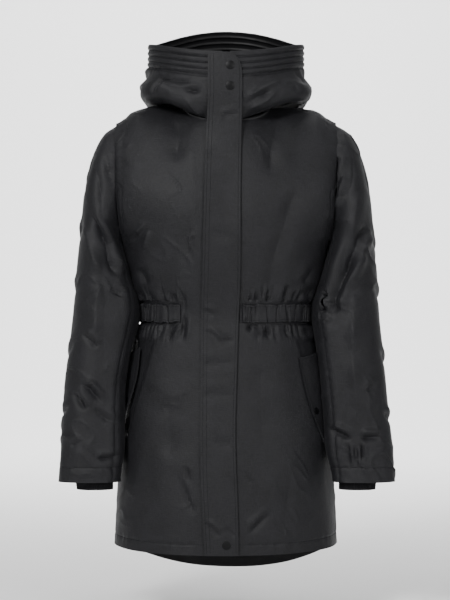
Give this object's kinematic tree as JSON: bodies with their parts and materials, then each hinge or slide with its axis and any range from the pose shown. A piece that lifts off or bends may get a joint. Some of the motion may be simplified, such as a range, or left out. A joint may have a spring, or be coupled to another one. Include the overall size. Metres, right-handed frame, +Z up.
{
  "type": "padded hooded parka",
  "caption": "Thigh-length padded parka, filled out as worn: funnel hood with quilted brim, covered front zip with snaps, elastic waist, slanted pocket flaps, storm cuffs and a drop tail",
  "frame": {"origin": "on the shoulder line, midway between the shoulders, where the wearer carries the garment", "axes": "+Z up along the body, -Y to the front, +X to the wearer's left"},
  "size_m": [0.564, 0.3318, 0.9531],
  "materials": {
    "shell": "charcoal black plain-woven polyester, matt with a faint sheen, over light padding",
    "zip_tape": "black woven zip tape",
    "rib_knit": "black rib knit",
    "snap": "press snap cap with a dark satin coating"
  },
  "bodies": {
    "root": {"front_right": "shell", "front_left": "shell", "back": "shell", "sleeve_upper_right": "shell", "sleeve_under_right": "shell", "sleeve_upper_left": "shell", "sleeve_under_left": "shell", "hood_right": "shell", "hood_left": "shell", "brim": "shell", "placket": "shell", "casing_right": "shell", "casing_left": "shell", "casing_back": "shell", "pocket_flap_right": "shell", "pocket_flap_left": "shell", "zip_tape": "zip_tape", "storm_cuff_right": "rib_knit", "storm_cuff_left": "rib_knit", "snap_top": "snap", "snap_neck": "snap", "snap_hem": "snap", "snap_pocket_right": "snap", "snap_pocket_left": "snap"}
  },
  "joints": []
}
